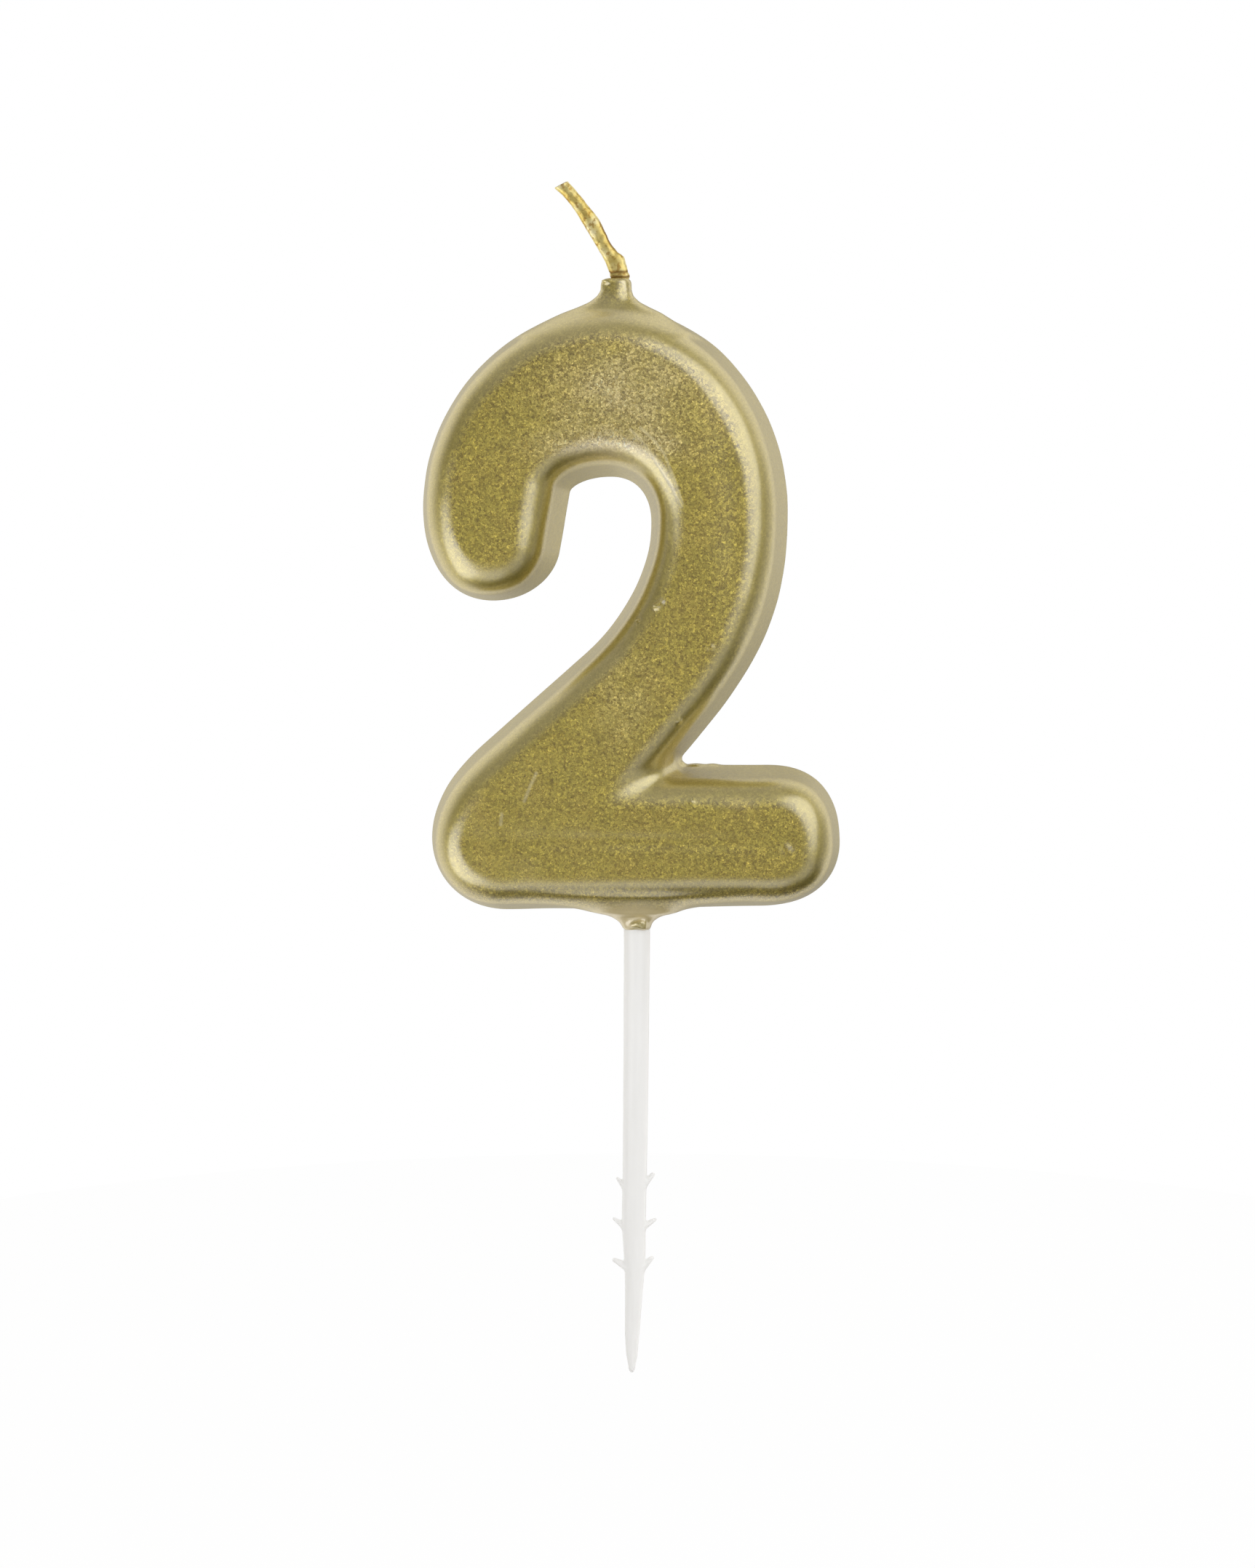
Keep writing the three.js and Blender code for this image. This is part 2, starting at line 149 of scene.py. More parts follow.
def numeral_outline():
    """The largest outline, at the back: points of X and Z, anticlockwise seen from the front."""
    hook_bottom_height = foot_height + bay_space
    bay_top_height = crown_height - crown_stroke
    bay_right_reach = bowl_reach_right - right_stroke
    hook_side = spot(hook_stroke - bowl_reach_left, hook_bottom_height + hook_round)
    bay_corner_foot = neck_length + bay_top_height - bay_corner_drop
    bay_corner_reach = hook_side[0] + hook_lean * (bay_corner_foot - hook_side[1])
    junction = spot(junction_reach, foot_height)
    waist_corner = spot(bowl_reach_right, foot_height + waist_rise)
    bay_bottom_corner = spot(bay_right_reach, foot_height + bay_corner_rise)
    heel_top_corner = spot(-foot_reach_left, heel_corner)
    bay_right = spot(bay_right_reach, bay_top_height - bay_right_drop)
    points = []
    here = spot(heel_round - foot_reach_left, -underside_rise / 2)
    start = here

    def straight(to):
        nonlocal here
        count = max(1, int(np.linalg.norm(to - here) / straight_spacing))
        points.append(here + (to - here) * np.linspace(0, 1, count, endpoint=False)[:, None])
        here = to

    def round_to(corner, to, leaving, arriving=None):
        nonlocal here
        arriving = leaving if arriving is None else arriving
        first = here + (corner - here) * leaving
        points.append(bezier(here, first, to + (corner - to) * arriving, to, bend_points))
        here = to

    def notch(corner, beyond):
        nonlocal here
        opening = math.atan2(*(beyond - corner)[::-1])
        along = junction_radius / math.tan(opening / 2)
        centre = corner + np.array([along, junction_radius])
        straight(np.array([centre[0], corner[1]]))
        angles = np.linspace(1.5 * math.pi, opening + 0.5 * math.pi, notch_points, endpoint=False)
        points.append(centre + junction_radius * np.stack([np.cos(angles), np.sin(angles)], 1))
        here = towards(corner, beyond, along)

    straight(spot(foot_reach_right - foot_lower_round, underside_rise / 2))
    foot_end = spot(foot_reach_right, foot_end_height)
    foot_top = spot(foot_reach_right - foot_upper_round, foot_height)
    round_to(spot(foot_reach_right, underside_rise / 2), foot_end, foot_lower_pull)
    round_to(spot(foot_reach_right, foot_height), foot_top, foot_upper_pull)
    notch(junction, waist_corner)
    straight(towards(junction, waist_corner, waist_straight))
    round_to(waist_corner, spot(bowl_reach_right, crown_height - bowl_right_drop), bowl_lower_pull)
    round_to(spot(bowl_reach_right, crown_height), spot(-crown_offset, crown_height), crown_right_pull)
    hook_widest = spot(-bowl_reach_left, hook_bottom_height + hook_rise)
    round_to(spot(-bowl_reach_left, crown_height), hook_widest, crown_left_pull)
    hook_bottom = spot(hook_bottom_inset - bowl_reach_left, hook_bottom_height)
    round_to(spot(-bowl_reach_left, hook_bottom_height), hook_bottom, hook_left_pull)
    hook_corner = spot(hook_side[0] - hook_lean * hook_round, hook_bottom_height)
    round_to(hook_corner, hook_side, hook_right_pull)
    straight(np.array([bay_corner_reach, bay_corner_foot]))
    bay_corner = spot(bay_corner_reach + hook_lean * bay_corner_drop, bay_top_height)
    bay_top = spot((bay_corner_reach + bay_right_reach) / 2, bay_top_height)
    round_to(bay_corner, bay_top, bay_corner_pull, bay_top_pull)
    round_to(spot(bay_right_reach, bay_top_height), bay_right, bay_right_pull)
    diagonal_top = towards(bay_bottom_corner, heel_top_corner, bay_bend)
    round_to(bay_bottom_corner, diagonal_top, bay_bottom_pull)
    straight(towards(heel_top_corner, bay_bottom_corner, heel_bend))
    round_to(heel_top_corner, spot(-foot_reach_left, heel_height), heel_top_pull)
    round_to(spot(-foot_reach_left, -underside_rise / 2), start, heel_bottom_pull)
    return np.concatenate(points)


def outline_depth(outline, across, height):
    """How far each point lies inside an outline, negative outside."""
    after = np.roll(outline, -1, axis=0)
    way = after - outline
    long = (way**2).sum(1)
    rise = np.where(way[:, 1] == 0, 1, way[:, 1])
    depth = np.empty(across.size)
    flat = np.stack([across.ravel(), height.ravel()], 1)
    batch = 4096
    for start in range(0, len(flat), batch):
        part = flat[start:start + batch]
        offset = part[:, None] - outline[None]
        share = np.clip((offset * way).sum(2) / long, 0, 1)
        gap = offset - share[:, :, None] * way
        square = (gap**2).sum(2)
        near = square.argmin(1)
        rows = np.arange(len(part))
        least = np.sqrt(square[rows, near])
        above = (outline[None, :, 1] > part[:, None, 1]) != (after[None, :, 1] > part[:, None, 1])
        cross = outline[:, 0] + (part[:, None, 1] - outline[:, 1]) * way[:, 0] / rise
        inside = (above & (part[:, None, 0] < cross)).sum(1) % 2 == 1
        depth[start:start + batch] = np.where(inside, least, -least)
    return depth.reshape(across.shape)


def rounded_max(first, second, radius, cosine):
    """Common inside of two flat-sided fields whose outward normals meet at a cosine, with a round edge."""
    u = first + radius
    v = second + radius
    corner = np.sqrt(np.maximum(u**2 + v**2 - 2 * u * v * cosine, 0) / (1 - cosine**2))
    return np.where((u > v * cosine) & (v > u * cosine), corner, np.maximum(u, v)) - radius


def smooth_min(first, second, reach):
    """Union of two fields, with a soft fillet where they meet."""
    share = np.maximum(reach - np.abs(first - second), 0) / reach
    return np.minimum(first, second) - share**2 * reach / 4


def smooth_max(first, second, reach):
    """Common inside of two fields, with a softened edge where they meet."""
    return -smooth_min(-first, -second, reach)


def mitred_depth(outline, across, height):
    """Depth inside the outline, with the shoulders at the notch carried on to meet in a valley."""
    corner = spot(junction_reach, foot_height)
    beyond = spot(bowl_reach_right, foot_height + waist_rise)
    way = (beyond - corner) / np.linalg.norm(beyond - corner)
    under_diagonal = (height - corner[1]) * way[0] - (across - corner[0]) * way[1]
    valley = smooth_max(under_diagonal, corner[1] - height, notch_blend)
    return np.minimum(outline_depth(outline, across, height), valley)


def ellipsoid(x, y, z, centre, radii):
    """Field of an ellipsoid, close to a distance near its surface."""
    away = 0.0
    for axis, middle, radius in zip((x, y, z), centre, radii):
        away = away + ((axis - middle) / radius)**2
    return (np.sqrt(away) - 1) * min(radii)


def waves(points, seed, shortest, longest, count=28):
    """Smooth seeded undulation between -1 and 1, from plane waves of several lengths."""
    random = np.random.default_rng(seed)
    total = 0.0
    for _ in range(count):
        way = random.normal(size=3)
        way /= np.linalg.norm(way)
        length = random.uniform(shortest, longest)
        turn = 2 * math.pi / length
        phase = random.uniform(0, 2 * math.pi)
        total = total + np.sin(turn * (points[0] * way[0] + points[1] * way[1] + points[2] * way[2]) + phase)
    return total / math.sqrt(count * 2)


def surface_net(field, low, step):
    """Quads through the zero level of a field on a grid that is negative inside, as points and faces."""
    shape = np.array(field.shape)
    stride = np.array([shape[1] * shape[2], shape[2], 1])
    flat = field.ravel()
    cells = []
    places = []
    quads = []
    for axis in range(3):
        near = np.moveaxis(field, axis, 0)[:-1]
        far = np.moveaxis(field, axis, 0)[1:]
        index = np.stack(np.nonzero((near < 0) != (far < 0)), 1)
        others = [other for other in range(3) if other != axis]
        node = np.empty_like(index)
        node[:, axis] = index[:, 0]
        node[:, others[0]] = index[:, 1]
        node[:, others[1]] = index[:, 2]
        start = flat[node @ stride]
        end = flat[node @ stride + stride[axis]]
        place = node.astype(float)
        place[:, axis] += start / (start - end)
        base = node @ stride
        first, second = stride[others[0]], stride[others[1]]
        ring = np.stack([base - first - second, base - second, base, base - first], 1)
        turned = (start > 0) != (axis == 1)
        ring[turned] = ring[turned][:, ::-1]
        quads.append(ring)
        cells.append(ring.ravel())
        places.append(np.repeat(place, 4, axis=0))
    cells = np.concatenate(cells)
    places = np.concatenate(places)
    names, which = np.unique(cells, return_inverse=True)
    count = np.bincount(which)
    points = np.stack([np.bincount(which, places[:, axis]) / count for axis in range(3)], 1)
    faces = np.searchsorted(names, np.concatenate(quads))
    return low + points * step, faces


def relax(points, faces, rounds=2, forth=0.5, back=0.52):
    """Evens out a closed mesh by moving each point towards its neighbours' middle and back."""
    edges = np.concatenate([faces[:, [side, (side + 1) % 4]] for side in range(4)])
    degree = np.bincount(edges.ravel(), minlength=len(points))[:, None]
    for turn in range(2 * rounds):
        total = np.zeros_like(points)
        for axis in range(3):
            total[:, axis] = np.bincount(edges[:, 0], points[edges[:, 1], axis], len(points))
            total[:, axis] += np.bincount(edges[:, 1], points[edges[:, 0], axis], len(points))
        amount = forth if turn % 2 == 0 else -back
        points = points + amount * (total / degree - points)
    return points


def normals_of(points, faces):
    """Area-weighted outward normals at a mesh's points."""
    cross = np.cross(points[faces[:, 2]] - points[faces[:, 0]], points[faces[:, 3]] - points[faces[:, 1]])
    total = np.zeros_like(points)
    for side in range(4):
        for axis in range(3):
            total[:, axis] += np.bincount(faces[:, side], cross[:, axis], len(points))
    return total / np.maximum(np.linalg.norm(total, axis=1), 1e-12)[:, None]


def make_mesh(name, points, faces, material, attributes=None):
    """A smooth mesh object, in metres, with its per-point attributes."""
    mesh = bpy.data.meshes.new(name)
    mesh.vertices.add(len(points))
    mesh.vertices.foreach_set("co", (points * MM).astype(np.float32).ravel())
    sides = faces.shape[1]
    mesh.loops.add(faces.size)
    mesh.loops.foreach_set("vertex_index", faces.astype(np.int32).ravel())
    mesh.polygons.add(len(faces))
    mesh.polygons.foreach_set("loop_start", np.arange(0, faces.size, sides, dtype=np.int32))
    mesh.update(calc_edges=True)
    mesh.validate()
    mesh.shade_smooth()
    for key, values in (attributes or {}).items():
        layer = mesh.attributes.new(key, "FLOAT", "POINT")
        layer.data.foreach_set("value", values.astype(np.float32))
    mesh.materials.append(material)
    piece = bpy.data.objects.new(name, mesh)
    bpy.context.scene.collection.objects.link(piece)
    return piece


# Gold drips: the nipple round the wick, and the neck round the pick.
# Each profile holds half widths in X at distances from the lip, and each depth is the widest in Y.
nipple_top = coat_high[2]
nipple_axis = -2.2
nipple_profile = [
    (0.0, 1.5), (0.7, 1.66), (1.3, 1.78), (1.95, 2.1),
    (2.6, 2.85), (3.25, 4.1), (3.9, 5.5), (6.5, 10.0),
]
nipple_depth = 3.4
nipple_drift = -1.0
neck_profile = [
    (0.0, 1.62), (0.4, 1.68), (0.7, 1.82), (1.0, 2.05),
    (1.35, 2.5), (1.7, 3.2), (2.05, 4.7), (4.2, 10.0),
]
neck_depth = 3.6
neck_lip = -0.25
neck_drift = -0.5
drip_squareness = 2.6
lip_round = 0.4


def flare(x, y, z, axis, below, profile, depth, drift):
    """Field of a drip that widens with the distance below its lip, and stays thinner in Y than in X."""
    places, widths = np.array(profile).T
    reach = places[-1]
    wide = np.interp(below, places, widths)
    slope = np.interp(below, (places[1:] + places[:-1]) / 2, np.diff(widths) / np.diff(places))
    deep = widths[0] + (wide - widths[0]) * (depth - widths[0]) / (widths[-1] - widths[0])
    middle = axis + drift * np.clip(below / reach, 0, 1)
    ring = np.abs((x - middle) / wide)**drip_squareness + np.abs(y / deep)**drip_squareness
    side = (ring**(1 / drip_squareness) - 1) * deep / np.sqrt(1 + slope**2)
    return smooth_max(side, np.maximum(-below, below - reach), lip_round)


# Wax burrs and crumbs on the coat: middle and radii of each
neck_crumbs = [
    ((-0.35, -1.75, 0.42), (0.42, 0.3, 0.24)),
    ((0.1, -1.8, 0.62), (0.4, 0.4, 0.26)),
    ((0.6, -1.8, 0.78), (0.42, 0.42, 0.28)),
    ((1.0, -1.65, 0.5), (0.3, 0.4, 0.34)),
    ((0.5, -1.85, 0.22), (0.42, 0.3, 0.2)),
    ((1.05, -1.5, 0.05), (0.3, 0.36, 0.2)),
]
nipple_crumbs = [
    ((-3.75, -0.4, 74.2), (0.3, 0.6, 0.26)),
    ((-3.85, -0.5, 73.75), (0.26, 0.5, 0.32)),
    ((-3.4, -1.2, 74.35), (0.5, 0.4, 0.2)),
]
face_crumbs = [
    ((2.5, -4.95, 37.4), (0.5, 0.16, 0.26)),
    ((3.1, -4.95, 37.7), (0.3, 0.16, 0.3)),
    ((0.3, -4.6, 35.7), (0.3, 0.2, 0.24)),
    ((8.7, -4.9, 32.6), (0.28, 0.2, 0.24)),
    ((5.1, -4.35, 24.3), (0.24, 0.3, 0.36)),
    ((6.6, -5.0, 15.3), (0.22, 0.07, 0.2)),
    ((17.2, -5.0, 9.9), (0.2, 0.05, 0.18)),
    ((17.5, -5.0, 9.3), (0.18, 0.05, 0.18)),
    ((-3.0, -2.6, 3.0), (0.36, 0.36, 0.24)),
]
foot_burrs = [
    ((6.6, 3.6, 18.6), (1.1, 0.9, 0.3)),
    ((8.6, 3.8, 18.6), (0.7, 0.8, 0.26)),
    ((4.9, 3.2, 18.9), (0.5, 0.9, 0.3)),
]

# Fillets where drips and crumbs meet the body
nipple_fillet = 0.8
neck_fillet = 1.0
crumb_fillet = 0.25

# Ends whose sides stand steeper: X, Z, reach across, reach up, share of the draft that is missing
steep_ends = [
    (24.0, 10.0, 8.0, 12.0, 0.4),
    (-17.0, 36.0, 8.0, 5.0, 0.4),
]

# Shallow hollows and swells of the front face: X, Z, reach across, reach up, depth
face_hollows = [
    (0.0, 10.4, 15.0, 1.0, 0.22),
    (-7.0, 59.0, 7.0, 5.5, -0.22),
    (12.5, 46.0, 2.5, 14.0, 0.06),
    (-1.5, 24.0, 4.0, 5.0, -0.08),
]
hollow_inset = 3.0
hollow_fade = 3.0

# Paler, frosted places of the front face, whose paler colour partly paints the highlight the face catches
# there, strongest above the bay: X, Z, reach across, reach up, amount
frost_highlight_places = [
    (-1.5, 61.5, 8.0, 6.0, 0.5),
    (-3.0, 55.4, 6.5, 1.7, 0.8),
    (-1.0, 27.0, 3.0, 6.0, 0.22),
    (15.0, 62.0, 4.0, 4.0, 0.25),
]

# Where the flat face begins: its depth inside the outline, and how squarely it faces the front
face_inset = 2.7
face_inset_fade = 1.5
face_squareness = 0.8
face_squareness_fade = 0.16

# Grain: least, added on the face and along the foot's lower edge, and share of that on the nipple
least_grain = 0.3
face_grain = 0.65
nipple_grain = 0.5
nipple_foot = 71.5
foot_edge_height = 4.0
foot_edge_reach = 1.6

# Frost and its painted highlight: how much its strength varies
frost_highlight_clouding = 0.35

# Film of gold over the white pick at the neck, and the lump where it has run together: X, Z, reaches
film_share = 0.8
film_reach = 3.8
film_fade = 1.4
film_flatness = 0.42
neck_lump = (0.45, 0.45, 0.95, 0.5)
lump_cover = 0.85

# Spacing of the mesh, and room below the CAD's box for the neck's lip
coat_spacing = 0.22
lip_room = 0.6
waviness = 0.035


def front_sink(x, z, depth):
    """How far the cooling wax has sunk at the front."""
    sink = 0.0
    for across, height, wide, tall, deep in face_hollows:
        sink = sink + deep * np.exp(-((x - across) / wide)**2 - ((z - height) / tall)**2)
    return sink * np.clip((depth - hollow_inset) / hollow_fade, 0, 1)


def coat_field(x, y, z, depth):
    """The numeral's outer skin: negative inside the wax."""
    sine = math.sin(draft)
    cosine = math.cos(draft)
    widest = back_rounding * sine * (1 + sine) / cosine
    wall = half_thickness * sine - widest * cosine
    side = wall - depth * cosine - y * sine
    for across, height, wide, tall, share in steep_ends:
        near = np.exp(-((x - across) / wide)**4 - ((z - height) / tall)**4)
        side = side + share * near * (y - half_thickness) * sine
    sink = front_sink(x, z, depth)
    body = np.maximum(
        rounded_max(side, -y - half_thickness + sink, shoulder_radius, sine),
        rounded_max(side, y - half_thickness, back_rounding, -sine),
    )
    nipple = flare(x, y, z, nipple_axis, nipple_top - z, nipple_profile, nipple_depth, nipple_drift)
    neck = flare(x, y, z, 0.0, z - neck_lip, neck_profile, neck_depth, neck_drift)
    body = smooth_min(body, nipple, nipple_fillet)
    body = smooth_min(body, neck, neck_fillet)
    for centre, radii in neck_crumbs + nipple_crumbs + face_crumbs + foot_burrs:
        body = smooth_min(body, ellipsoid(x, y, z, centre, radii), crumb_fillet)
    return body


def gold_looks(points, normal, depth):
    """How much each point belongs to the face, how frosted (paler, partly a painted highlight), grainy or
    thinly covered it is.
    """
    forward = -normal[:, 1]
    flat = np.clip((forward - face_squareness) / face_squareness_fade, 0, 1)
    face = np.clip((depth - face_inset) / face_inset_fade, 0, 1) * flat
    foot_edge = np.exp(-((points[:, 2] - foot_edge_height) / foot_edge_reach)**4)
    foot_edge = foot_edge * np.clip((forward - 0.3) / 0.3, 0, 1)
    nipple = np.clip(points[:, 2] - nipple_foot, 0, 1) * (forward > 0)
    rough = np.maximum(np.maximum(face, foot_edge), nipple_grain * nipple)
    grain = least_grain + face_grain * rough
    frost_and_highlight = 0.0
    for across, height, wide, tall, amount in frost_highlight_places:
        away = ((points[:, 0] - across) / wide)**2 + ((points[:, 2] - height) / tall)**2
        frost_and_highlight = frost_and_highlight + amount * np.exp(-away)
    clouds = 1 + frost_highlight_clouding * waves(points.T, seed=41, shortest=2.0, longest=6.0)
    frost_and_highlight = np.clip(frost_and_highlight * clouds, 0, 1) * (forward > 0.5)
    lump_x, lump_z, lump_wide, lump_tall = neck_lump
    lump = np.exp(-((points[:, 0] - lump_x) / lump_wide)**4 - ((points[:, 2] - lump_z) / lump_tall)**4)
    reach = np.hypot(film_flatness * points[:, 0], points[:, 2])
    film = film_share * np.clip((film_reach - reach) / film_fade, 0, 1) * (1 - lump_cover * lump)
    return {"face": face, "frost_and_highlight": frost_and_highlight, "grain": grain, "film": film}


def gold_numeral(material):
    """The gold coat: the whole numeral with its drips, burrs and marks."""
    step = coat_spacing
    margin = 3 * step
    low = coat_low - margin
    low[2] -= lip_room
    high = coat_high + margin
    axes = [np.arange(low[axis], high[axis], step) for axis in range(3)]
    x, y, z = np.meshgrid(*axes, indexing="ij", sparse=True)
    flat_x, flat_z = np.meshgrid(axes[0], axes[2], indexing="ij")
    outline = numeral_outline()
    depth = mitred_depth(outline, flat_x, flat_z)
    field = coat_field(x, y, z, depth[:, None, :])
    field = field + waviness * waves((x, y, z), seed=5, shortest=4.0, longest=11.0)
    points, faces = surface_net(field.astype(np.float32), low, step)
    points = relax(points, faces)
    depth = mitred_depth(outline, points[:, 0], points[:, 2])
    looks = gold_looks(points, normals_of(points, faces), depth)
    return make_mesh("gold_numeral", points, faces, material, looks)


def nodes_of(material):
    material.use_nodes = True
    tree = material.node_tree
    return tree, tree.nodes["Principled BSDF"]


def add(tree, kind, inputs=None, **settings):
    """A node with its settings and its inputs, which are values or the outputs of other nodes."""
    node = tree.nodes.new(kind)
    for key, value in settings.items():
        setattr(node, key, value)
    for key, value in (inputs or {}).items():
        if isinstance(value, bpy.types.NodeSocket):
            tree.links.new(value, node.inputs[key])
        else:
            node.inputs[key].default_value = value
    return node


def maths(tree, operation, first, second=0.0, third=0.0):
    return add(tree, "ShaderNodeMath", {0: first, 1: second, 2: third}, operation=operation).outputs[0]


def vector_maths(tree, operation, first, second=None, scale=None):
    node = add(tree, "ShaderNodeVectorMath", {0: first}, operation=operation)
    if isinstance(second, bpy.types.NodeSocket):
        tree.links.new(second, node.inputs[1])
    elif second is not None:
        node.inputs[1].default_value = second
    if isinstance(scale, bpy.types.NodeSocket):
        tree.links.new(scale, node.inputs["Scale"])
    elif scale is not None:
        node.inputs["Scale"].default_value = scale
    return node.outputs["Vector"]


def ramp(tree, value, stops):
    """A colour ramp with its stops as place and colour."""
    node = add(tree, "ShaderNodeValToRGB", {"Fac": value})
    elements = node.color_ramp.elements
    while len(elements) < len(stops):
        elements.new(0.5)
    for element, (place, colour) in zip(elements, stops):
        element.position = place
        element.color = (*colour, 1.0)
    return node.outputs["Color"]


def mix(tree, share, first, second, blend="MIX"):
    node = add(tree, "ShaderNodeMix", data_type="RGBA", blend_type=blend)
    for socket, value in ((node.inputs[0], share), (node.inputs[6], first), (node.inputs[7], second)):
        if isinstance(value, bpy.types.NodeSocket):
            tree.links.new(value, socket)
        else:
            socket.default_value = value if isinstance(value, float) else (*value, 1.0)
    return node.outputs[2]


def noise(tree, place, scale, detail=3.0, roughness=0.5):
    inputs = {"Vector": place, "Scale": scale, "Detail": detail, "Roughness": roughness}
    return add(tree, "ShaderNodeTexNoise", inputs).outputs["Fac"]


def attribute(tree, name):
    """A value stored at the mesh's points."""
    return add(tree, "ShaderNodeAttribute", attribute_name=name).outputs["Fac"]


def bumped(tree, height, distance, strength, normal=None):
    """A bumped normal from a height, whose full step is a distance in metres."""
    inputs = {"Height": height, "Distance": distance, "Strength": strength}
    if normal is not None:
        inputs["Normal"] = normal
    return add(tree, "ShaderNodeBump", inputs).outputs["Normal"]


# Scratches in the gold, as X and Z of the points they run through
scratches = [
    [(-0.4, 57.3), (1.3, 55.5), (2.8, 53.2), (4.3, 50.9), (5.4, 48.6)],
    [(0.7, 57.5), (2.2, 56.2), (3.4, 54.6), (4.6, 51.6), (5.5, 48.9)],
]
scuffs = [
    [(-11.2, 18.2), (-11.9, 16.7), (-12.6, 15.0)],
    [(-15.2, 13.5), (-15.3, 12.3)],
    [(-1.5, 74.3), (-1.2, 73.4)],
]


def closeness(tree, place, paths, reach):
    """1 on the paths, fading to 0 at a reach from them, on the numeral's front."""
    flat = vector_maths(tree, "MULTIPLY", place, (1.0, 0.0, 1.0))
    nearest = None
    for stops in paths:
        for start, end in zip(stops, stops[1:]):
            start = Vector((start[0], 0, start[1])) * MM
            way = Vector((end[0], 0, end[1])) * MM - start
            offset = vector_maths(tree, "SUBTRACT", flat, start)
            scaled = {0: offset, 1: way / way.length_squared}
            along = add(tree, "ShaderNodeVectorMath", scaled, operation="DOT_PRODUCT").outputs["Value"]
            share = add(tree, "ShaderNodeClamp", {"Value": along}).outputs[0]
            foot = vector_maths(tree, "SCALE", way, scale=share)
            ends = {0: offset, 1: foot}
            gap = add(tree, "ShaderNodeVectorMath", ends, operation="DISTANCE").outputs["Value"]
            nearest = gap if nearest is None else maths(tree, "MINIMUM", nearest, gap)
    stops = {"Value": nearest, "From Min": 0.0, "From Max": reach * MM, "To Min": 1.0, "To Max": 0.0}
    fade = add(tree, "ShaderNodeMapRange", stops, interpolation_type="SMOOTHSTEP").outputs["Result"]
    depth = add(tree, "ShaderNodeSeparateXYZ", {"Vector": place}).outputs["Y"]
    return maths(tree, "MULTIPLY", fade, maths(tree, "LESS_THAN", depth, -1.0 * MM))


# Golds: the face by its patches, the shoulders (a little paler, a painted highlight), frosted places (paler,
# partly a painted highlight), scraped places (paler, partly a painted glint), and the film at the neck
face_golds = [
    (0.3, (0.472, 0.38, 0.042)),
    (0.5, (0.482, 0.384, 0.046)),
    (0.72, (0.494, 0.385, 0.052)),
]
shoulder_highlight_gold = (0.485, 0.392, 0.067)
frost_highlight_gold = (0.74, 0.62, 0.28)
scraped_glint_gold = (0.8, 0.71, 0.4)
film_gold = (0.62, 0.51, 0.28)

# Flakes, coarse and fine: cells to the metre, shades from the darkest flake to the brightest, and lean
flake_density = 3900.0
flake_shades = [(0.0, (0.7, 0.65, 0.46)), (0.5, (1.0, 1.0, 1.0)), (1.0, (1.3, 1.31, 1.6))]
speck_density = 8600.0
speck_shades = [
    (0.0, (0.62, 0.55, 0.36)),
    (0.3, (1.0, 1.0, 1.0)),
    (0.75, (1.0, 1.0, 1.0)),
    (1.0, (1.55, 1.56, 1.9)),
]
flake_lean = 0.34
frost_grain = 1.6


